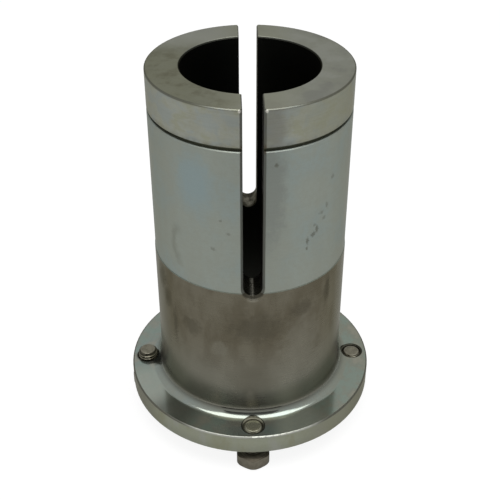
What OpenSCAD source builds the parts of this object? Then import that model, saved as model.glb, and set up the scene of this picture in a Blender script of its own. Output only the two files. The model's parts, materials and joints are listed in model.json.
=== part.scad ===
// Clamping bushing: a thick-walled turned steel sleeve on a round flange. Two long slots split its
// upper end, so that a ring round the outside can squeeze it onto a shaft in the bore. Four hex head
// screws are threaded up through the flange from below, and the bushing stands on their heads.
// The bore runs along +Z, the flange underside is at z = 0, and the slots open towards -Y and +Y.

/* [Flange] */
// Distance that the flange stands out from the seat, all round
flange_w = 12.8; // [11:0.1:20]
// Thickness of the flange
flange_t = 8.6; // [6:0.1:12]
// Radius of the rounded upper edge of the rim
rim_top_round = 0.6; // [0.2:0.1:1.5]
// Chamfer turned on the lower edge of the rim
rim_low_chamfer = 0.5; // [0.2:0.1:1.5]
// Radius of the polished fillet from the flange into the sleeve
fillet_r = 4.5; // [2:0.5:8]

/* [Sleeve] */
// Height from the flange underside to the open end
sleeve_h = 142; // [125:1:180]
// Diameter of the plain seat between the flange and the slotted end
seat_d = 75; // [68:0.5:78]
// Length of the turned-down slotted end, from the open end to the shoulder above the seat
slotted_end_len = 73.5; // [50:0.5:90]
// Step in radius at the shoulder, from the seat down to the slotted end
shoulder_step = 0.2; // [0.1:0.1:1]
// Diameter of the bore
bore_d = 50; // [40:0.5:56]
// Chamfer at both ends of the bore
bore_chamfer = 0.5; // [0.2:0.1:1.5]
// Chamfer on the outer edge of the open end
end_chamfer = 0.3; // [0.2:0.1:1.5]

/* [Slots] */
// Width of each slot
slot_w = 7; // [4:0.5:10]
// Depth of the slots from the open end to their round bottoms
slot_depth = 75; // [50:1:90]
// Chamfer along the outer edges of the slots
slot_chamfer = 0.9; // [0.3:0.1:1.5]
// Edge break where the slots run out at the open end
slot_end_break = 0.4; // [0.2:0.1:1]

/* [Ring groove] */
// Distance from the open end to the upper wall of the groove
groove_from_end = 14.1; // [8:0.1:20]
// Width of the groove
groove_w = 1.3; // [1:0.1:4]
// Depth of the groove below the slotted end's surface
groove_depth = 1.4; // [0.5:0.1:3]
// Edge break on both lips of the groove
groove_lip = 0.3; // [0.1:0.1:0.5]

/* [Flange screws] */
// Number of screws, spaced evenly from the front
screw_count = 4; // [3:1:6]
// Thread diameter of the screws
screw_d = 8; // [5:1:8]
// Length of the screws under the head
screw_len = 12.4; // [8:0.2:16]
// Width across the flats of the hex heads
head_flats = 13; // [10:0.5:14]
// Height of the hex heads
head_h = 5.7; // [4:0.1:7]
// How far the bevel round the bearing face of each head reaches inside the flats
bearing_inset = 0.7; // [0.1:0.05:1.5]
// How far the bevel on the end of each head reaches inside the flats
head_end_inset = 0.35; // [0.1:0.05:1]
// Slope of both bevels against the ends of the head, in degrees
head_bevel_angle = 30; // [15:1:40]
// Chamfer at the tip of each screw
tip_chamfer = 0.9; // [0.3:0.1:1.2]
// Gap left between the flange and the heads that the bushing stands on
head_gap = 3.8; // [2:0.1:6]
// Gap under the one screw that is driven in further, so that its tip stands out of the flange
driven_gap = 0.7; // [0.5:0.1:4]
// Gap all round each screw in its tapped hole
thread_clearance = 0.05; // [0.03:0.01:0.1]
// Depth of the 90 degree countersinks at both mouths of the tapped holes
countersink = 0.3; // [0.1:0.05:0.8]
// How much wider than its mouth the countersinking tool is, in radius, where it cuts into the fillet
countersink_tool_margin = 0.1; // [0.05:0.05:1]

/* [Hidden] */
$fn = 96;

seat_r = seat_d / 2;
flange_r = seat_r + flange_w;
flange_d = 2 * flange_r;
end_r = seat_r - shoulder_step;
bore_r = bore_d / 2;

// Each slot's round bottom is centred at this height. The chamfer on its outer edges is a 45 degree V
// with its point inside the slot, at this distance from the bore's axis.
slot_r = slot_w / 2;
slot_centre_h = sleeve_h - slot_depth + slot_r;
slot_v_y = sqrt(pow(end_r, 2) - pow(slot_r + slot_chamfer, 2)) - slot_r - slot_chamfer;
slot_v_depth = seat_r + slot_chamfer - slot_v_y;

shoulder_h = sleeve_h - slotted_end_len;
groove_top_h = sleeve_h - groove_from_end;
groove_low_h = groove_top_h - groove_w;

// The screws stand midway between the seat and the rim.
screw_circle_r = seat_r + flange_w / 2;
screw_step = 360 / screw_count;
hole_r = screw_d / 2 + thread_clearance;
mouth_r = hole_r + countersink;
countersink_tool_r = mouth_r + countersink_tool_margin;
head_flat_r = head_flats / 2;
head_corner_r = head_flat_r / cos(180 / 6);
head_end_r = head_flat_r - head_end_inset;
bearing_r = head_flat_r - bearing_inset;
// Each head was left turned by its own angle, counted from a corner that faces outwards.
head_turns = [0, 30, 12, 3];
// Cuts run past the faces that they open by this much.
past = 1;

// Half section of the sleeve, with the radius along X and the height along Y
module sleeve_section() {
    difference() {
        union() {
            flange_section();
            seat_section();
            slotted_end_section();
        }
        groove_section();
        bore_mouth_section();
    }
}

// Flange from the bore to its rim, which is chamfered below and rounded above
module flange_section() {
    polygon([
        [bore_r, 0],
        [flange_r - rim_low_chamfer, 0],
        [flange_r, rim_low_chamfer],
        [flange_r, flange_t - rim_top_round],
        [flange_r - rim_top_round, flange_t],
        [bore_r, flange_t]
    ]);
    translate([flange_r - rim_top_round, flange_t - rim_top_round])
        circle(rim_top_round);
}

// Seat, running out into the flange through a concave fillet
module seat_section() {
    translate([bore_r, 0])
        square([seat_r - bore_r, shoulder_h]);
    difference() {
        translate([bore_r, 0])
            square([seat_r + fillet_r - bore_r, flange_t + fillet_r]);
        translate([seat_r + fillet_r, flange_t + fillet_r])
            circle(fillet_r);
    }
}

// Slightly smaller end that the slots split, with a chamfered outer edge
module slotted_end_section() {
    polygon([
        [bore_r, 0],
        [end_r, 0],
        [end_r, sleeve_h - end_chamfer],
        [end_r - end_chamfer, sleeve_h],
        [bore_r, sleeve_h]
    ]);
}

// Square groove with broken lips
module groove_section() {
    polygon([
        [end_r - groove_depth, groove_low_h],
        [end_r - groove_lip, groove_low_h],
        [end_r + past, groove_low_h - groove_lip - past],
        [end_r + past, groove_top_h + groove_lip + past],
        [end_r - groove_lip, groove_top_h],
        [end_r - groove_depth, groove_top_h]
    ]);
}

// Chamfers at both ends of the bore
module bore_mouth_section() {
    for (mouth = [[0, 1], [sleeve_h, -1]])
        polygon([
            [bore_r - past, mouth[0] - mouth[1] * past],
            [bore_r + bore_chamfer + past, mouth[0] - mouth[1] * past],
            [bore_r - past, mouth[0] + mouth[1] * (bore_chamfer + past)]
        ]);
}

// Both slots at once: a milled gap across the sleeve with a round bottom
module slot_cut() {
    translate([0, flange_r, slot_centre_h])
        rotate([90, 0, 0])
            cylinder(r = slot_r, h = flange_d);
    translate([-slot_r, -flange_r, slot_centre_h])
        cube([slot_w, flange_d, slot_depth]);
}

// Chamfer along the outer edges of the front slot and round its bottom
module slot_edge_cut() {
    translate([0, -slot_v_y, slot_centre_h]) {
        linear_extrude(slot_depth)
            polygon([[0, 0], [slot_v_depth, -slot_v_depth], [-slot_v_depth, -slot_v_depth]]);
        rotate([90, 90, 0])
            cylinder(r1 = 0, r2 = slot_v_depth, h = slot_v_depth);
    }
}

// Edge break along the slots where they run out through the end face
module slot_end_cut() {
    translate([0, flange_r, sleeve_h])
        rotate([90, 0, 0])
            linear_extrude(flange_d)
                polygon([
                    [-slot_r, -slot_end_break],
                    [slot_r, -slot_end_break],
                    [slot_r + slot_end_break + past, past],
                    [-slot_r - slot_end_break - past, past]
                ]);
}

// Puts its children at one screw's place, with -Y pointing out of the flange
module at_screw(i) {
    rotate([0, 0, i * screw_step])
        translate([0, -screw_circle_r, 0])
            children();
}

// Tapped hole with both mouths countersunk, where the tool also cuts into the fillet beside the upper one
module tapped_hole_cut() {
    translate([0, 0, -past])
        cylinder(r = hole_r, h = flange_t + 2 * past);
    translate([0, 0, -past])
        cylinder(r1 = mouth_r + past, r2 = hole_r, h = countersink + past);
    translate([0, 0, flange_t - countersink])
        cylinder(r1 = hole_r, r2 = countersink_tool_r, h = countersink_tool_r - hole_r);
    translate([0, 0, flange_t + countersink_tool_margin])
        cylinder(r = countersink_tool_r, h = fillet_r + past);
}

module flanged_sleeve() {
    color([0.66, 0.69, 0.67])
        difference() {
            rotate_extrude()
                sleeve_section();
            slot_cut();
            for (side = [0, 180])
                rotate([0, 0, side])
                    slot_edge_cut();
            slot_end_cut();
            for (i = [0 : screw_count - 1])
                at_screw(i)
                    tapped_hole_cut();
        }
}

// Half section of the round blank that a head is cut from, with both bevels, the bearing face at Y = 0
module head_section() {
    blank_r = head_corner_r + past;
    slope = tan(head_bevel_angle);
    polygon([
        [0, -head_h],
        [head_end_r, -head_h],
        [blank_r, (blank_r - head_end_r) * slope - head_h],
        [blank_r, (bearing_r - blank_r) * slope],
        [bearing_r, 0],
        [0, 0]
    ]);
}

// Hex head below z = 0, bevelled on both sides, with a shank along +Z
module hex_screw() {
    intersection() {
        translate([0, 0, -head_h])
            cylinder(r = head_corner_r, h = head_h, $fn = 6);
        rotate_extrude()
            head_section();
    }
    translate([0, 0, -head_h / 2])
        cylinder(d = screw_d, h = head_h / 2 + screw_len - tip_chamfer);
    translate([0, 0, screw_len - tip_chamfer])
        cylinder(d1 = screw_d, d2 = screw_d - 2 * tip_chamfer, h = tip_chamfer);
}

// The last screw, on the left, is driven in further than the rest. A hexagon starts with a corner on +X.
module flange_screws() {
    color([0.48, 0.46, 0.40])
        for (i = [0 : screw_count - 1])
            at_screw(i)
                translate([0, 0, -(i == screw_count - 1 ? driven_gap : head_gap)])
                    rotate([0, 0, 90 + head_turns[i % len(head_turns)]])
                        hex_screw();
}

flanged_sleeve();
flange_screws();
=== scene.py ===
import json
import math

import bmesh
import bpy
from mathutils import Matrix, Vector


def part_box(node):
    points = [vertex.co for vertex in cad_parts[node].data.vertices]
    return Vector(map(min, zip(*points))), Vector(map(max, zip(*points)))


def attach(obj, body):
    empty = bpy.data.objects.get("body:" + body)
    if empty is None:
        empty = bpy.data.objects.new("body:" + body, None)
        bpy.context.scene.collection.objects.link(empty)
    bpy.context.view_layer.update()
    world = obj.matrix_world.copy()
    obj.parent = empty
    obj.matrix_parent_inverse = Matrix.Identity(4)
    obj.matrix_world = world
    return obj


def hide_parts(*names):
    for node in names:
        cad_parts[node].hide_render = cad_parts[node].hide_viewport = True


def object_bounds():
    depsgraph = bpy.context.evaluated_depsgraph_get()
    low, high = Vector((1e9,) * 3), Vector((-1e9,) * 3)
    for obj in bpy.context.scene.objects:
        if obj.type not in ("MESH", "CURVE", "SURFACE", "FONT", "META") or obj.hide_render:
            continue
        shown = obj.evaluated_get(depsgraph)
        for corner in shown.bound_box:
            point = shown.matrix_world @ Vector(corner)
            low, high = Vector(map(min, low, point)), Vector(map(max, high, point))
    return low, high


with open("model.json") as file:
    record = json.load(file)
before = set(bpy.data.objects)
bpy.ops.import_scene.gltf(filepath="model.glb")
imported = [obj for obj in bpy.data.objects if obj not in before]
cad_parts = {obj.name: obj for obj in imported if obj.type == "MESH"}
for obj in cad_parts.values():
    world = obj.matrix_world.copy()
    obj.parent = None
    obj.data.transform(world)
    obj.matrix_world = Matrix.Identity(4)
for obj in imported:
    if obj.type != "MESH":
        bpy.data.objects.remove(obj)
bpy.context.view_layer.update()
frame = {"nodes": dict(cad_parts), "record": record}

# Flanged sleeve: one thick steel tube with a round flange, turned on a lathe and split at its upper end
# by two milled slots. The slotted end and the flange are zinc plated, the seat between them is ground
# bare steel that has browned with handling, and the bore and the slots are black with old oil.
MM = 0.001
mount_sizes = {mount["name"]: mount["dims"] for mount in frame["record"]["mounts"]}
sleeve_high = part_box("flanged_sleeve")[1]
bore_r = mount_sizes["shaft_bore"]["r_mm"]
seat_r = mount_sizes["outer_seat"]["r_mm"]
flange_r = sleeve_high.x / MM
sleeve_h = sleeve_high.z / MM
flange_t = 8.6
fillet_r = 4.5
rim_round = 0.6
slotted_end_len = 73.5
shoulder_h = sleeve_h - slotted_end_len
shoulder_step = 0.2
end_r = seat_r - shoulder_step
groove_from_end = 14.1
groove_w = 1.3
groove_top = sleeve_h - groove_from_end
groove_low = groove_top - groove_w
slot_r = 3.5
slot_depth = 75.0
slot_chamfer = 0.9
slot_centre_h = sleeve_h - slot_depth + slot_r
screw_circle_r = (seat_r + flange_r) / 2
hole_r = 4.05
countersink = 0.3
countersink_tool_margin = 0.1
hole_mouth_r = hole_r + countersink


class Shade:
    """A value in a node tree. Maths on it is written in Python and adds Math nodes."""

    def __init__(self, nodes, socket):
        self.nodes = nodes
        self.socket = socket

    def __add__(self, other):
        return self.nodes.maths("ADD", self, other)

    def __radd__(self, other):
        return self.nodes.maths("ADD", other, self)

    def __sub__(self, other):
        return self.nodes.maths("SUBTRACT", self, other)

    def __rsub__(self, other):
        return self.nodes.maths("SUBTRACT", other, self)

    def __mul__(self, other):
        return self.nodes.maths("MULTIPLY", self, other)

    def __rmul__(self, other):
        return self.nodes.maths("MULTIPLY", other, self)

    def __truediv__(self, other):
        return self.nodes.maths("DIVIDE", self, other)

    def __abs__(self):
        return self.nodes.maths("ABSOLUTE", self)


class Nodes:
    """One node tree, and the few ways in which its nodes are added."""

    def __init__(self, tree):
        self.tree = tree

    def add(self, kind, settings=None, sockets=None, output=0):
        """A new node's output, or a list of them where several are named."""
        node = self.tree.nodes.new(kind)
        for name, value in (settings or {}).items():
            setattr(node, name, value)
        for name, value in (sockets or {}).items():
            self.feed(node.inputs[name], value)
        if isinstance(output, tuple):
            return [Shade(self, node.outputs[name]) for name in output]
        return Shade(self, node.outputs[output])

    def feed(self, socket, value):
        """Links a value of the tree to a socket, or sets a plain number or colour on it."""
        if isinstance(value, Shade):
            self.tree.links.new(value.socket, socket)
        else:
            socket.default_value = value

    def maths(self, operation, first, second=0.0):
        return self.add("ShaderNodeMath", {"operation": operation}, {0: first, 1: second})

    def smaller(self, first, second):
        return self.maths("MINIMUM", first, second)

    def larger(self, first, *others):
        for other in others:
            first = self.maths("MAXIMUM", first, other)
        return first

    def reach(self, first, second):
        """Length of the diagonal over two distances."""
        return self.maths("SQRT", first * first + second * second)

    def rise(self, value, start, end):
        """0 up to start and 1 from end on, with a soft step between them. It falls where end is lower."""
        sockets = {"Value": value, "From Min": start, "From Max": end}
        return self.add("ShaderNodeMapRange", {"interpolation_type": "SMOOTHSTEP"}, sockets)

    def within(self, value, low, high, edge):
        """1 between low and high, with soft edges."""
        return self.rise(value, low - edge, low + edge) * self.rise(value, high + edge, high - edge)

    def vector(self, x, y, z):
        return self.add("ShaderNodeCombineXYZ", None, {"X": x, "Y": y, "Z": z})

    def noise(self, vector, scale, detail=2.0, roughness=0.5):
        sockets = {"Vector": vector, "Scale": scale, "Detail": detail, "Roughness": roughness}
        return self.add("ShaderNodeTexNoise", None, sockets, "Fac")

    def colour(self, factor, first, second, blend="MIX"):
        """first where factor is 0 and second, or its blend over first, where it is 1."""
        settings = {"data_type": "RGBA", "blend_type": blend}
        mixed = {0: factor, 6: first, 7: second}
        return self.add("ShaderNodeMix", settings, mixed, 2)

    def grey(self, value):
        """The same value in red, green and blue, to shade a colour with."""
        return self.add("ShaderNodeCombineColor", None, {0: value, 1: value, 2: value})


def new_finish(name):
    """A material with an empty Principled shader, its nodes, and that shader."""
    material = bpy.data.materials.new(name)
    material.use_nodes = True
    return material, Nodes(material.node_tree), material.node_tree.nodes["Principled BSDF"]


def rgb(red, green, blue):
    return (red, green, blue, 1.0)


sleeve_finish, steel, sleeve_shader = new_finish("turned_sleeve_finish")
place = steel.add("ShaderNodeTexCoord", output="Object")
place_mm = steel.add("ShaderNodeVectorMath", {"operation": "SCALE"}, {0: place, "Scale": 1 / MM})
x, y, z = steel.add("ShaderNodeSeparateXYZ", None, {0: place_mm}, ("X", "Y", "Z"))
radius = steel.reach(x, y)
turn = steel.maths("ARCTAN2", x, 0 - y)
arc = turn * seat_r
tool_path = z - radius

# Where each turned, milled and drilled surface of the sleeve lies. The polish reaches further up the
# fillet at the front than elsewhere.
top_face = steel.rise(z, sleeve_h - 0.1, sleeve_h - 0.02)
seat = steel.rise(z, shoulder_h - 0.02, shoulder_h - 0.12) * steel.rise(z, flange_t + 0.5, flange_t + 3.2)
rim = steel.rise(radius, flange_r - rim_round - 0.05, flange_r - rim_round + 0.05)
rim_edge = rim * steel.rise(z, flange_t - rim_round - 0.05, flange_t - rim_round + 0.05)
polish_h = z + steel.rise(abs(turn), 0.45, 0.80) * 1.2
polished = steel.rise(polish_h, flange_t + 3.6, flange_t + 2.2) * (1 - rim) * steel.rise(z, 0.0, 0.1)
flat_top = polished * steel.rise(radius, seat_r + fillet_r - 1, seat_r + fillet_r)
outside = steel.rise(radius, end_r - 0.6, end_r - 0.3)
ring_band = steel.rise(z, groove_top, groove_top + 0.1) * (1 - top_face)
slot_reach = steel.reach(x, steel.smaller(z - slot_centre_h, 0))
bore = steel.rise(radius, bore_r + 0.5, bore_r + 0.3)
slot = steel.rise(slot_reach, slot_r + 0.06, slot_r + 0.02)
slot_floor = slot * steel.rise(z, slot_centre_h, slot_centre_h - 1.5)
slot_edge = steel.rise(slot_reach, slot_r + slot_chamfer + 0.1, slot_r + slot_chamfer - 0.1)
groove = steel.within(z, groove_low, groove_top, 0.05) * steel.rise(radius, end_r - 0.45, end_r - 0.70)
across = steel.larger(abs(x), abs(y)) - screw_circle_r
hole_reach = steel.reach(across, steel.smaller(abs(x), abs(y)))
hole = steel.rise(hole_reach, hole_r + 0.1, hole_r + 0.05) * steel.rise(z, flange_t - 1.0, flange_t - 1.5)
lip_rise = steel.larger(steel.smaller(z - flange_t, countersink_tool_margin), -countersink)
lip_reach = hole_reach - lip_rise - hole_mouth_r
near_lip = steel.within(z, flange_t - 1.2, flange_t + 6, 0.2)
lip = steel.rise(lip_reach, 0.06, 0.02) * near_lip
lip_edge = steel.rise(lip_reach, 0.50, 0.25) * near_lip

# Clouds, specks and tool lines, in millimetres, that several of the surfaces share.
cloud = steel.noise(place_mm, 0.055, 3)
blotch = steel.noise(place_mm, 0.30, 4, 0.6)
speckle = steel.noise(place_mm, 1.6, 2)
mottle = steel.noise(place_mm, 0.42, 4, 0.65)
patch = steel.noise(steel.vector(x, y, z * 1.3), 0.16, 3, 0.55)
tool_lines = steel.noise(steel.vector(x * 0.02, y * 0.02, tool_path), 2.6, 3, 0.7)


def mark(at_turn, at_height, half_w, half_h, ragged=0.5, edge=blotch):
    """Soft mark on the outside of the tube, at a turn in degrees to the right of the front and a height."""
    beside = (arc - math.radians(at_turn) * seat_r) / half_w
    above = (z - at_height) / half_h
    ragged_reach = steel.reach(beside, above) + (edge - 0.5) * ragged
    return steel.rise(ragged_reach, 1.15, 0.35) * outside


def marks(places, ragged, edge=blotch):
    """Several marks of one kind, each given by its turn, height, half width and half height."""
    return steel.larger(*[mark(*spot, ragged, edge) for spot in places])


# Zinc plate: pale grey-green in soft upright bands and mottling, with a blue bloom on the left of the
# slotted end and a duller strip beside the slot.
zinc_green = rgb(0.368, 0.405, 0.360)
zinc_blue = rgb(0.318, 0.408, 0.420)
zinc_warm = rgb(0.352, 0.374, 0.322)
zinc_dull = rgb(0.285, 0.310, 0.282)
upright = steel.noise(steel.vector(x, y, z * 0.12), 0.10, 3)
zinc = steel.colour(steel.rise(upright, 0.38, 0.66) * 0.6, zinc_green, zinc_warm)
zinc = steel.colour(steel.rise(cloud, 0.45, 0.65) * 0.35, zinc, zinc_blue)
zinc = steel.colour(steel.rise(mottle, 0.40, 0.65) * 0.5, zinc, zinc_warm)
zinc = steel.colour(mark(-33, 112, 9, 14, 0.9) * 0.8, zinc, zinc_blue)
zinc = steel.colour(mark(10, 112, 6, 30, 1.2) * 0.85, zinc, zinc_dull)

# Ring band above the groove: the same plate, yellower, with turned streaks and olive and blue patches. It
# is duller beside the slot and browner on the right.
band_pale = rgb(0.425, 0.438, 0.375)
band_straw = rgb(0.385, 0.388, 0.312)
band_blue = rgb(0.368, 0.406, 0.390)
band_olive = rgb(0.382, 0.382, 0.268)
band_dull = rgb(0.275, 0.280, 0.250)
band_brown = rgb(0.322, 0.328, 0.244)
band_cloud = steel.noise(steel.vector(x, y, z * 2.2), 0.12, 5, 0.65)
band_tint = steel.colour(steel.rise(band_cloud, 0.38, 0.66), band_pale, band_straw)
band_tint = steel.colour(steel.rise(patch, 0.49, 0.60) * 0.75, band_tint, band_blue)
band_tint = steel.colour(steel.rise(patch, 0.47, 0.36) * 0.7, band_tint, band_olive)
zinc = steel.colour(ring_band * 0.8, zinc, band_tint)
zinc = steel.colour(mark(11, 135, 6, 10, 1.0) * 0.75, zinc, band_dull)
zinc = steel.colour(mark(48, 135, 22, 14, 1.0) * ring_band * 0.6, zinc, band_brown)

# Flange: polished plate in faint green and rosy patches, straw coloured on the right. Its flat top has a
# painted darker reflection at the front left and a painted lighter reflection further left and at the front
# right.
flange_straw = rgb(0.325, 0.332, 0.258)
flange_green = rgb(0.318, 0.428, 0.375)
flange_rosy = rgb(0.455, 0.430, 0.350)
flange_reflection_dark = rgb(0.180, 0.190, 0.162)
flange_reflection_light = rgb(0.475, 0.520, 0.455)
# Painted reflection on the flat top: darker at the front left, lighter further left and at the front right.
painted_dark_reflection = flat_top * steel.rise(abs(turn + 0.74), 0.32, 0.08)
painted_light_right = flat_top * steel.rise(abs(turn - 0.40), 0.30, 0.08)
painted_light_left = flat_top * steel.rise(abs(turn + 1.15), 0.35, 0.10)
zinc = steel.colour(polished * steel.rise(x, 10, 45) * 0.65, zinc, flange_straw)
zinc = steel.colour(flat_top * steel.rise(patch, 0.46, 0.62) * 0.5, zinc, flange_green)
zinc = steel.colour(flat_top * steel.rise(patch, 0.50, 0.34) * 0.5, zinc, flange_rosy)
zinc = steel.colour(painted_dark_reflection * 0.85, zinc, flange_reflection_dark)
zinc = steel.colour(steel.larger(painted_light_right, painted_light_left * 0.85) * 0.85, zinc, flange_reflection_light)

# Rim of the flange: olive, darker downwards and cloudy, with painted shade darker and browner at the sides
# and on the right. Its rounded upper edge has a painted highlight at the front and painted shade elsewhere.
rim_olive = rgb(0.370, 0.384, 0.290)
rim_low = rgb(0.300, 0.312, 0.240)
rim_pale = rgb(0.390, 0.398, 0.362)
rim_yellow = rgb(0.305, 0.306, 0.205)
rim_side_shade = rgb(0.228, 0.226, 0.180)
rim_right_shade = rgb(0.280, 0.281, 0.208)
edge_highlight = rgb(0.520, 0.530, 0.480)
edge_shade = rgb(0.135, 0.135, 0.112)
rim_cloud = steel.noise(steel.vector(x, y, z * 0.4), 0.09, 4, 0.6)
edge_away_from_front = steel.rise(abs(turn), 0.42, 0.64)
zinc = steel.colour(rim * 0.85, zinc, steel.colour(steel.rise(z, 6, 0), rim_olive, rim_low))
zinc = steel.colour(rim * steel.rise(rim_cloud, 0.48, 0.62) * 0.6, zinc, rim_pale)
zinc = steel.colour(rim * steel.rise(rim_cloud, 0.48, 0.36) * 0.6, zinc, rim_yellow)
# Painted shade, darker and browner at the sides and on the right.
zinc = steel.colour(rim * steel.rise(abs(turn), 0.75, 1.15) * 0.75, zinc, rim_side_shade)
zinc = steel.colour(rim * steel.rise(turn, 0.25, 0.62) * 0.7, zinc, rim_right_shade)
# Painted highlight on the front of the rounded edge and painted shade elsewhere on it.
zinc = steel.colour(rim_edge * 0.9, zinc, steel.colour(edge_away_from_front, edge_highlight, edge_shade))

# Dirt on the plate: one ring from a thumb, dark and faint specks, and painted shade along the lip above the
# groove.
plate_dirt_and_shade = rgb(0.125, 0.122, 0.092)
thumb_reach = steel.reach((arc - math.radians(-44) * seat_r) / 4.6, (z - 83.5) / 8.0)
thumb_side = steel.rise(turn, math.radians(-41), math.radians(-48)) * outside
thumb_ring = steel.within(thumb_reach + (blotch - 0.5) * 0.9, 0.65, 1.05, 0.3) * thumb_side
speck_places = [
    (12.1, 121.3, 0.9, 0.9), (38.2, 91.2, 0.9, 1.8), (35.6, 89.6, 1.5, 1.2), (31.8, 87.6, 0.8, 1.8),
    (31.4, 84.6, 0.7, 0.9),
]
faint_places = [
    (49.3, 109.8, 1.3, 1.2), (45.2, 99.5, 0.9, 1.5), (41.2, 97.4, 1.5, 0.9), (43.5, 94.6, 1.1, 0.9),
    (36.5, 93.4, 0.9, 0.8), (-17.6, 99.2, 0.8, 0.7), (-13.3, 94.2, 0.9, 0.8), (-22.1, 86.8, 1.2, 0.9),
]
specks = marks(speck_places, 1.5, speckle)
faint_specks = marks(faint_places, 1.5, speckle)
# Painted shade that fades upwards from the lip above the groove, blotchy.
groove_shade_fade = steel.rise(z, groove_top + 2.4, groove_top + 0.4)
groove_shade_start = steel.rise(z, groove_top + 0.2, groove_top + 0.5)
groove_shade = groove_shade_fade * ring_band * steel.rise(blotch, 0.35, 0.75) * groove_shade_start
zinc_dirt_and_shade = steel.larger(specks * 0.62, faint_specks * 0.36, thumb_ring * 0.3, groove_shade * 0.4)
zinc = steel.colour(zinc_dirt_and_shade, zinc, plate_dirt_and_shade)

# Top face: mottled, greyer on the right, yellower beside the slots and paler at the back left, with brown
# thumb smudges at the front left and a painted line of shade along the outer edge that is fainter at the
# front.
face_olive = rgb(0.290, 0.302, 0.240)
face_grey = rgb(0.322, 0.338, 0.292)
face_right = rgb(0.302, 0.310, 0.268)
face_dull = rgb(0.240, 0.245, 0.222)
face_pale = rgb(0.368, 0.380, 0.340)
face_slot = rgb(0.320, 0.325, 0.248)
face_brown = rgb(0.215, 0.219, 0.156)
face_back = rgb(0.350, 0.360, 0.322)
thumb_brown = rgb(0.140, 0.136, 0.092)
outer_edge_shade = rgb(0.120, 0.120, 0.094)
front_left = steel.rise(x, 2, -22) * steel.rise(y, 24, 2)
back_left = steel.rise(y, 8, 26) * steel.rise(x, 2, -14)
smudge = steel.rise(steel.noise(place_mm, 0.13, 5, 0.62), 0.42, 0.64) * front_left
face_cloud = steel.noise(place_mm, 0.10, 4, 0.6)
face_tint = steel.colour(steel.rise(cloud, 0.4, 0.65), face_olive, face_grey)
face_tint = steel.colour(steel.rise(x, 0, 25) * 0.7, face_tint, face_right)
face_tint = steel.colour(steel.rise(face_cloud, 0.50, 0.64) * 0.6, face_tint, face_dull)
face_tint = steel.colour(steel.rise(face_cloud, 0.50, 0.36) * 0.5, face_tint, face_pale)
face_tint = steel.colour(steel.rise(abs(x), 20, 8) * 0.55, face_tint, face_slot)
face_tint = steel.colour(front_left * 0.8, face_tint, face_brown)
face_tint = steel.colour(back_left * 0.7, face_tint, face_back)
face_tint = steel.colour(smudge * 0.75, face_tint, thumb_brown)
plate = steel.colour(top_face, zinc, face_tint)
# Painted shade along the outer top edge, fainter at the front.
edge_line = steel.rise(z, sleeve_h - 0.9, sleeve_h - 0.4) * steel.rise(radius, end_r - 0.7, end_r - 0.3)
edge_line = edge_line * (0.35 + 0.5 * steel.rise(abs(turn), 0.25, 0.6))
plate = steel.colour(edge_line, plate, outer_edge_shade)

# Ground seat: brown bare steel, paler towards the flange, with rubbed, scratched and stained places,
# painted lighter at the sides, a painted shade low at the front and two small painted highlights.
seat_brown = rgb(0.146, 0.130, 0.092)
seat_tan = rgb(0.198, 0.182, 0.136)
seat_low = rgb(0.272, 0.272, 0.228)
seat_side_light = rgb(0.335, 0.338, 0.300)
seat_rubbed = rgb(0.262, 0.254, 0.206)
seat_front_shade = rgb(0.150, 0.140, 0.105)
seat_scratched = rgb(0.062, 0.057, 0.042)
seat_stained = rgb(0.090, 0.081, 0.058)
seat_highlight = rgb(0.370, 0.355, 0.290)
rubbed_places = [(-20, 41, 4, 4), (30, 40, 11, 16), (-30, 25, 12, 7), (16, 26, 8, 9), (48, 26, 13, 12)]
stain_places = [
    (-66, 62, 5, 6), (-58, 55, 3, 5), (-38, 48, 5, 5), (49, 60, 2.4, 7), (2, 52, 12, 8), (30, 58, 6, 4),
]
scratch_places = [(-66, 62, 4, 7), (-61, 54, 2.4, 5), (-52, 44, 1.6, 9), (50, 61, 1.8, 6)]
highlight_places = [(-1.5, 16.5, 2.2, 5), (0, 66, 2.2, 1.4)]
stain_cloud = steel.noise(steel.vector(x, y, z * 0.45), 0.11, 5, 0.6)
painted_side_light = steel.rise(abs(abs(turn) - 1.45), 0.50, 0.15)
seat_tint = steel.colour(steel.rise(stain_cloud, 0.36, 0.66), seat_brown, seat_tan)
seat_tint = steel.colour(steel.rise(z, 48, 16) * 0.75, seat_tint, seat_low)
# Painted light on the sides of the seat.
seat_tint = steel.colour(painted_side_light * 0.7, seat_tint, seat_side_light)
seat_tint = steel.colour(marks(rubbed_places, 1.3) * 0.4, seat_tint, seat_rubbed)
# Painted shade low at the front.
seat_tint = steel.colour(mark(0, 26, 12, 9) * 0.55, seat_tint, seat_front_shade)
seat_tint = steel.colour(marks(scratch_places, 2.4, speckle) * 0.5, seat_tint, seat_scratched)
seat_tint = steel.colour(marks(stain_places, 1.6, mottle) * 0.5, seat_tint, seat_stained)
# Two small painted highlights, one a streak low at the front.
seat_tint = steel.colour(marks(highlight_places, 0.5) * 0.5, seat_tint, seat_highlight)
base = steel.colour(seat, plate, seat_tint)

# Old grease in the corner beside the left screw and round its hole, with painted shadow and dark reflection
# of that screw.
smear_and_shade_black = rgb(0.045, 0.045, 0.032)
smear_reach = steel.reach((x + 39.6) / 2.6, (y + 3.8) / 4.2) + (blotch - 0.5) * 1.2
smear_and_shadow = steel.rise(smear_reach, 1.2, 0.3) * steel.rise(z, flange_t + 6, flange_t + 3)
ring_smear_and_shadow = steel.rise(hole_reach, 5.6, 4.5) * steel.rise(x, -41, -44) * steel.rise(y, 3, -2)
ring_smear_and_shadow = ring_smear_and_shadow * steel.rise(z, flange_t + 3, flange_t + 2)
base = steel.colour(steel.larger(smear_and_shadow, ring_smear_and_shadow * 0.8) * 0.8, base, smear_and_shade_black)

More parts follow.
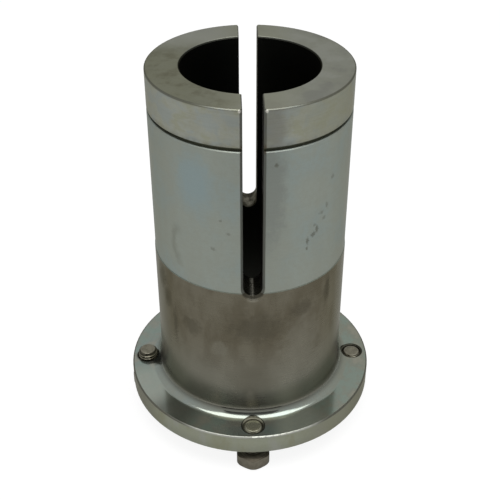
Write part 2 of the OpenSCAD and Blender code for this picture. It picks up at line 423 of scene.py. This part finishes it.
# Near black in the bore, the slots and deeper in the tapped holes, and painted shade in the groove. The
# slots' chamfers are dull steel with painted shade towards the round bottoms, rusty at the groove, with
# painted glints at their upper corners. The round bottoms are black with bare patches, more of them and
# lighter in the back slot, and a painted highlight streak lies in the front one.
hollow_black = rgb(0.030, 0.031, 0.026)
slot_wall_dark = rgb(0.085, 0.085, 0.070)
chamfer_steel = rgb(0.135, 0.134, 0.118)
slot_chamfer_shade = rgb(0.050, 0.047, 0.036)
bottom_black = rgb(0.045, 0.043, 0.033)
bottom_steel = rgb(0.240, 0.230, 0.184)
bottom_highlight = rgb(0.400, 0.390, 0.330)
corner_rust = rgb(0.150, 0.115, 0.078)
groove_shade_olive = rgb(0.125, 0.123, 0.078)
glint_white = rgb(0.900, 0.880, 0.790)
# Painted shade on the slots' chamfers below the middle of the round bottoms.
chamfer_tint = steel.colour(steel.rise(z, slot_centre_h, slot_centre_h - 2), chamfer_steel, slot_chamfer_shade)
# Bare patches in the round bottoms, partly wear and partly painted light, far more of them in the back
# slot.
bottom_bare_and_lit = steel.rise(blotch, 0.36, 0.62) * (0.25 + 0.75 * steel.rise(y, -10, 10))
# Painted highlight streak along the front slot's round bottom.
bottom_highlight_streak = steel.rise(abs(x + 0.3), 1.1, 0.3) * steel.rise(y, 10, -10)
bottom_tint = steel.colour(bottom_bare_and_lit, bottom_black, bottom_steel)
bottom_tint = steel.colour(bottom_highlight_streak * 0.75, bottom_tint, bottom_highlight)
base = steel.colour(slot_edge * (1 - top_face) * 0.7, base, chamfer_tint)
base = steel.colour(slot_floor, base, bottom_tint)
at_groove = steel.within(z, groove_low - 1.0, groove_top + 1.2, 0.8)
corner_grime = slot_edge * at_groove * steel.rise(blotch, 0.35, 0.6)
base = steel.colour(corner_grime * 0.7, base, corner_rust)
# Painted shade in the groove.
base = steel.colour(groove * 0.85, base, groove_shade_olive)
dark_hollows = steel.larger(bore, slot * (1 - slot_floor), hole)
base = steel.colour(dark_hollows, base, steel.colour(slot * (1 - bore), hollow_black, slot_wall_dark))
# Painted glints at the upper corners of the slots' chamfers.
glint_reach = steel.reach(abs(x) - slot_r - slot_chamfer, z - sleeve_h + 0.7)
corner_glint = steel.rise(glint_reach, 0.75, 0.30) * steel.rise(abs(y), end_r - 2.5, end_r - 1.0)
base = steel.colour(corner_glint * 0.9, base, glint_white)

# Countersunk lips of the holes: painted dark for the dark reflection in them, with a painted black line of
# shade round them, and bare where the tool cut into the fillet behind the front screw.
lip_shade_black = rgb(0.022, 0.022, 0.017)
lip_reflection_dark = rgb(0.110, 0.108, 0.082)
lip_bare = rgb(0.380, 0.372, 0.285)
front_arch = steel.rise(across, -0.6, -2.4) * steel.rise(y, -30, -36)
# Painted shade: a black line round each lip.
base = steel.colour(lip_edge, base, lip_shade_black)
# Lips painted dark for the dark reflection in them, bare at the front arch.
base = steel.colour(lip * (1 - hole), base, steel.colour(front_arch, lip_reflection_dark, lip_bare))

# Tool lines and specks shade the whole sleeve, the lines stronger on the ring band and the seat and weaker
# on the rim. The polished faces keep hardly any of their height.
line_depth = 0.12 + 0.12 * ring_band + 0.10 * seat - 0.06 * rim
shading = 1 + (tool_lines - 0.5) * line_depth + (speckle - 0.5) * 0.10
base = steel.colour(1.0, base, steel.grey(shading), "MULTIPLY")
roughness = 0.36 + (cloud - 0.5) * 0.12 - seat * 0.08 - polished * 0.22 - rim_edge * (1 - edge_away_from_front) * 0.06
roughness = roughness + (tool_lines - 0.5) * 0.05 + dark_hollows * 0.08 + smudge * top_face * 0.10 + lip * 0.40
metallic = 0.72 + seat * 0.12 + polished * 0.12 + dark_hollows * 0.28
line_height = (tool_lines * 0.0022 + blotch * 0.0015) * (1 - steel.larger(polished, rim_edge) * 0.85)
line_bump = {"Strength": 1.0, "Distance": MM, "Height": line_height}
steel.feed(sleeve_shader.inputs["Base Color"], base)
steel.feed(sleeve_shader.inputs["Roughness"], roughness)
steel.feed(sleeve_shader.inputs["Metallic"], metallic)
steel.feed(sleeve_shader.inputs["Normal"], steel.add("ShaderNodeBump", None, line_bump))
steel.feed(sleeve_shader.inputs["Specular Tint"], rgb(0.52, 0.51, 0.44))

sleeve = frame["nodes"]["flanged_sleeve"]
sleeve.data.materials.clear()
sleeve.data.materials.append(sleeve_finish)

# Flange screws: four plain steel hex head screws with a coarse thread, rolled on a cold-headed blank.
# They are threaded up through the flange, and the bushing stands on the heads of three of them, while
# the left one is driven in further.
screws_low, screws_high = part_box("flange_screws")
screw_len = 12.4
thread_r = 3.98
thread_root_r = 3.32
thread_pitch = 1.25
crest_half_share = 0.09
flank_share = 0.26
tip_chamfer = 0.9
tip_crown = 0.06
neck_len = 0.5
neck_round = 0.25
head_flat_r = 6.5
head_corner_r = 7.0
head_h = 5.7
head_end_r = 6.15
bearing_r = 5.8
head_bevel = math.radians(30)
head_edge = 0.15
sharp_angle = math.radians(28)
standing_h = screws_low.z / MM + head_h
driven_h = screws_high.z / MM - screw_len
columns = 60
rows_a_pitch = 14
screw_places = [(0, standing_h, 0), (90, standing_h, 30), (180, standing_h, 12), (270, driven_h, 3)]


def thread_at(angle, height):
    """Radius of the thread, with flat crests and roots and straight flanks, on a chamfered tip."""
    phase = (height / thread_pitch - angle / math.tau) % 1
    flank = min(max((abs(phase - 0.5) - crest_half_share) / flank_share, 0), 1)
    radius_here = thread_r + (thread_root_r - thread_r) * flank
    run_in = min(max((height - neck_len) / thread_pitch, 0), 1)
    radius_here = thread_root_r + (radius_here - thread_root_r) * run_in
    return min(radius_here, thread_r - tip_chamfer + screw_len - height)


def hexagon_at(angle):
    """Distance from the axis to the side of the head, with its corners a little rounded off."""
    from_flat = (angle + math.pi / 6) % (math.pi / 3) - math.pi / 6
    return min(head_flat_r / math.cos(from_flat), head_corner_r)


def head_profile(angle):
    """Radius and height along one side of the head, from its end up to the neck."""
    side_r = hexagon_at(angle)
    middle_r = (head_end_r + side_r) / 2
    slope = math.tan(head_bevel)
    edge_step = head_edge * 0.3
    return [
        (head_end_r * 0.5, -head_h),
        (head_end_r - head_edge, -head_h),
        (head_end_r, -head_h + edge_step),
        (middle_r, -head_h + (middle_r - head_end_r + head_edge) * slope),
        (side_r - edge_step, -head_h + (side_r - head_end_r) * slope),
        (side_r, -head_h + (side_r - head_end_r + head_edge) * slope),
        (side_r, (bearing_r - side_r - head_edge) * slope),
        (side_r - edge_step, (bearing_r - side_r) * slope),
        ((bearing_r + side_r) / 2, (bearing_r - side_r) / 2 * slope),
        (bearing_r, -head_edge * 0.2),
        (bearing_r - head_edge, 0.0),
        (thread_root_r + neck_round, 0.0),
        (thread_root_r, neck_round),
    ]


def screw_rings():
    """Rings of points round one screw's axis, from the middle of its head to the middle of its tip."""
    angles = [math.tau * column / columns for column in range(columns)]
    sides = [head_profile(angle + math.pi / 6) for angle in angles]
    rings = [[(angle, *side[row]) for angle, side in zip(angles, sides)] for row in range(len(sides[0]))]
    steps = int((screw_len - neck_len) / thread_pitch * rows_a_pitch)
    for step in range(steps + 1):
        height = neck_len + (screw_len - neck_len) * step / steps
        rings.append([(angle, thread_at(angle, height), height) for angle in angles])
    for share in (0.94, 0.5):
        tip_radii = [thread_at(angle, screw_len) * share for angle in angles]
        rings.append([(angle, r, screw_len + tip_crown) for angle, r in zip(angles, tip_radii)])
    return rings


def add_screw(mesh, at_turn, bearing_h, head_turn):
    """One closed screw, at its turn round the flange and with its head's corner turned from the outside."""
    outward = math.radians(at_turn - 90)
    centre = Vector((math.cos(outward), math.sin(outward), 0)) * screw_circle_r
    centre.z = bearing_h
    turned = outward + math.radians(head_turn)
    loops = []
    for ring in screw_rings():
        points = [
            centre + Vector((math.cos(angle + turned) * r, math.sin(angle + turned) * r, height))
            for angle, r, height in ring
        ]
        loops.append([mesh.verts.new(point * MM) for point in points])
    for lower, upper in zip(loops, loops[1:]):
        for column in range(columns):
            beside = (column + 1) % columns
            mesh.faces.new((lower[column], lower[beside], upper[beside], upper[column]))
    for loop, height, flipped in ((loops[0], -head_h, True), (loops[-1], screw_len + tip_crown, False)):
        middle = mesh.verts.new((centre + Vector((0, 0, height))) * MM)
        for column in range(columns):
            beside = (column + 1) % columns
            edge = (loop[beside], loop[column]) if flipped else (loop[column], loop[beside])
            mesh.faces.new((*edge, middle))


screw_bmesh = bmesh.new()
for screw_place in screw_places:
    add_screw(screw_bmesh, *screw_place)
screw_mesh = bpy.data.meshes.new("threaded_screws")
screw_bmesh.to_mesh(screw_mesh)
screw_bmesh.free()
screw_mesh.polygons.foreach_set("use_smooth", [True] * len(screw_mesh.polygons))
screw_mesh.set_sharp_from_angle(angle=sharp_angle)
threaded_screws = bpy.data.objects.new("threaded_screws", screw_mesh)
bpy.context.scene.collection.objects.link(threaded_screws)

# Where the parts of a screw lie, counted along its axis from the head's bearing face.
screw_finish, plain, screw_shader = new_finish("aged_screw_finish")
place = plain.add("ShaderNodeTexCoord", output="Object")
place_mm = plain.add("ShaderNodeVectorMath", {"operation": "SCALE"}, {0: place, "Scale": 1 / MM})
x, y, z = plain.add("ShaderNodeSeparateXYZ", None, {0: place_mm}, ("X", "Y", "Z"))
across = plain.larger(abs(x), abs(y)) - screw_circle_r
axis_reach = plain.reach(across, plain.smaller(abs(x), abs(y)))
left_screw = plain.rise(x, -30, -35)
along = z - left_screw * (driven_h - standing_h) - standing_h
chamfer_h = screw_len - tip_chamfer
head = plain.rise(along, 0.2, 0.0)
thread_root = plain.rise(axis_reach, thread_r - 0.05, thread_root_r + 0.1) * plain.rise(along, 3, 5)
thread_root = thread_root * plain.rise(along, chamfer_h + 0.1, chamfer_h - 0.1)
neck_shadow = plain.rise(axis_reach, 4.7, 4.0) * plain.within(along, -0.1, 0.6, 0.1)
bevel = head * plain.rise(along + (axis_reach - bearing_r) * math.tan(head_bevel), -0.12, -0.02)
chamfer = plain.rise(axis_reach, 3.1, 3.3) * plain.rise(along, chamfer_h - 0.1, chamfer_h + 0.1)
tip_edge = plain.within(axis_reach, 2.75, 3.05, 0.15) * plain.rise(along, screw_len - 0.4, screw_len - 0.2)
front_tip = plain.rise(along, chamfer_h, chamfer_h + 0.2) * plain.rise(y, -36, -39)

# Aged steel: stained brown, with bare edges round the tips, a front tip painted lighter, browner heads with
# painted shade on their bevels, darker thread roots, and painted shade in the necks and round the chamfers.
screw_dark = rgb(0.200, 0.190, 0.142)
screw_pale = rgb(0.285, 0.268, 0.206)
screw_rusty = rgb(0.145, 0.115, 0.080)
front_tip_light = rgb(0.373, 0.380, 0.280)
tip_bare = rgb(0.38, 0.36, 0.30)
head_brown = rgb(0.200, 0.172, 0.138)
bevel_shade = rgb(0.072, 0.060, 0.042)
dark_roots_and_shade = rgb(0.030, 0.027, 0.018)
stain = plain.noise(place_mm, 0.45, 4, 0.6)
grain = plain.noise(place_mm, 2.4, 3, 0.6)
screw_tint = plain.colour(plain.rise(stain, 0.38, 0.68), screw_dark, screw_pale)
screw_tint = plain.colour(plain.rise(stain, 0.45, 0.25) * 0.6, screw_tint, screw_rusty)
# Painted light on the front screw's tip.
screw_tint = plain.colour(front_tip * 0.55, screw_tint, front_tip_light)
screw_tint = plain.colour(tip_edge * 0.4, screw_tint, tip_bare)
screw_tint = plain.colour(head * 0.35, screw_tint, head_brown)
# Painted shade on the heads' bevels under the flange.
screw_tint = plain.colour(bevel * 0.75, screw_tint, bevel_shade)
# Painted shade round the tips' chamfers, less on the front tip, and painted contact shadow at the necks;
# the thread roots are darkened too.
tip_chamfer_shade = chamfer * (0.35 + 0.3 * left_screw - 0.25 * front_tip)
screw_tint = plain.colour(plain.larger(thread_root * 0.9, neck_shadow * 0.6, tip_chamfer_shade), screw_tint, dark_roots_and_shade)
screw_tint = plain.colour(1.0, screw_tint, plain.grey(0.82 + grain * 0.36), "MULTIPLY")
screw_roughness = 0.20 + (grain - 0.5) * 0.2 + (stain - 0.5) * 0.15 + head * 0.27
grain_height = (grain * 0.012 + stain * 0.02) * (0.3 + 0.7 * head)
grain_bump = {"Strength": 1.0, "Distance": MM, "Height": grain_height}
plain.feed(screw_shader.inputs["Base Color"], screw_tint)
plain.feed(screw_shader.inputs["Roughness"], screw_roughness)
plain.feed(screw_shader.inputs["Metallic"], 0.72 + (stain - 0.5) * 0.3)
plain.feed(screw_shader.inputs["Normal"], plain.add("ShaderNodeBump", None, grain_bump))
plain.feed(screw_shader.inputs["Specular Tint"], rgb(0.6, 0.6, 0.6))
screw_mesh.materials.append(screw_finish)
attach(threaded_screws, "root")
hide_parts("flange_screws")

# Floor: a wide sheet of white paper that the bushing stands on, a hair below the heads. It glows white to
# the camera and, weaker, in the metal, and it keeps its own shading under the glow, so that the soft
# shadow stays.
floor_half = 4.0
floor_gap = 0.05 * MM
floor_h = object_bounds()[0].z - floor_gap
camera_glow = 0.6
metal_glow = 0.2
glow_strength = 1.46
floor_corners = [(-1, -1), (1, -1), (1, 1), (-1, 1)]
floor_points = [(a * floor_half, b * floor_half, floor_h) for a, b in floor_corners]
floor_mesh = bpy.data.meshes.new("paper_floor")
floor_mesh.from_pydata(floor_points, [], [(0, 1, 2, 3)])
floor = bpy.data.objects.new("paper_floor", floor_mesh)
bpy.context.scene.collection.objects.link(floor)
floor_finish, paper, floor_shader = new_finish("white_paper")
ray_kinds = ("Is Camera Ray", "Is Glossy Ray", "Is Transmission Ray")
seen, in_metal, in_glass = paper.add("ShaderNodeLightPath", output=ray_kinds)
glow = seen * camera_glow + (in_metal + in_glass) * metal_glow
paper_fibre = paper.noise(paper.add("ShaderNodeTexCoord", output="Object"), 900, 2)
paper_tint = paper.colour(paper_fibre, rgb(0.49, 0.49, 0.49), rgb(0.52, 0.52, 0.51))
shaded = paper.add("ShaderNodeBsdfDiffuse", None, {"Color": paper_tint})
white = paper.add("ShaderNodeEmission", None, {"Color": rgb(1, 1, 1), "Strength": glow_strength})
paper_mix = paper.add("ShaderNodeMixShader", None, {0: glow, 1: shaded, 2: white})
paper.tree.nodes.remove(floor_shader)
paper.feed(paper.tree.nodes["Material Output"].inputs["Surface"], paper_mix)
floor_mesh.materials.append(floor_finish)

# Studio: a white tent of even light that is brighter overhead, one large softbox above, and two dark
# curtains across the front, which draw the two dark lines in the polished fillet.
tent_low_light = 0.28
tent_top_light = 0.54
world = bpy.data.worlds.new("white_tent")
world.use_nodes = True
tent = Nodes(world.node_tree)
tent_light = world.node_tree.nodes["Background"]
sky_place = tent.add("ShaderNodeTexCoord", output="Generated")
sky_height = tent.add("ShaderNodeSeparateXYZ", None, {0: sky_place}, "Z")
overhead = tent.rise(sky_height, -0.1, 0.75)
tent.feed(tent_light.inputs["Color"], rgb(1, 1, 1))
tent.feed(tent_light.inputs["Strength"], tent_low_light + (tent_top_light - tent_low_light) * overhead)
bpy.context.scene.world = world

softbox_radiance = 2.4
softbox = bpy.data.lights.new("softbox", "AREA")
softbox.shape = "RECTANGLE"
softbox.size = 1.05
softbox.size_y = 0.70
softbox.energy = softbox_radiance * math.pi * softbox.size * softbox.size_y
softbox_lamp = bpy.data.objects.new("softbox", softbox)
softbox_lamp.location = (0.05, -0.18, 1.0)
bpy.context.scene.collection.objects.link(softbox_lamp)

# Each curtain hangs at its distance from the sleeve's axis, between a lower and an upper edge, in metres.
curtain_places = [(0.42, floor_h, 0.067), (1.1, 0.62, 1.45)]
curtain_half_turn = math.radians(32)
curtain_columns = 24
curtain_points = []
curtain_faces = []
for away, low, high in curtain_places:
    for column in range(curtain_columns + 1):
        angle = curtain_half_turn * (2 * column / curtain_columns - 1)
        foot = (math.sin(angle) * away, -math.cos(angle) * away)
        curtain_points += [(*foot, low), (*foot, high)]
        if column:
            last = len(curtain_points) - 1
            curtain_faces.append((last - 3, last - 1, last, last - 2))
curtain_mesh = bpy.data.meshes.new("dark_curtain")
curtain_mesh.from_pydata(curtain_points, [], curtain_faces)
curtain = bpy.data.objects.new("dark_curtain", curtain_mesh)
bpy.context.scene.collection.objects.link(curtain)
curtain_finish, cloth, curtain_shader = new_finish("dark_cloth")
cloth.feed(curtain_shader.inputs["Base Color"], rgb(0.06, 0.06, 0.06))
cloth.feed(curtain_shader.inputs["Roughness"], 1.0)
curtain_mesh.materials.append(curtain_finish)
curtain.visible_camera = False
curtain.visible_diffuse = False
curtain.visible_shadow = False

# Camera: it looks down on the bushing from the front, a little from the left, as in the photograph.
camera_distance = 305.3 * MM
camera_height = 272.4 * MM
camera_pitch = math.radians(34.53)
camera_turn = math.radians(1.6)
camera = bpy.data.cameras.new("camera")
camera.sensor_width = 36.0
camera.lens = 66.73
camera.clip_start = 0.01
camera_stand = bpy.data.objects.new("camera", camera)
camera_side = Vector((-math.sin(camera_turn), -math.cos(camera_turn), 0))
camera_stand.location = camera_side * camera_distance + Vector((0, 0, camera_height))
camera_stand.rotation_euler = (math.pi / 2 - camera_pitch, 0, -camera_turn)
bpy.context.scene.collection.objects.link(camera_stand)
bpy.context.scene.camera = camera_stand
bpy.context.scene.view_settings.view_transform = "Standard"
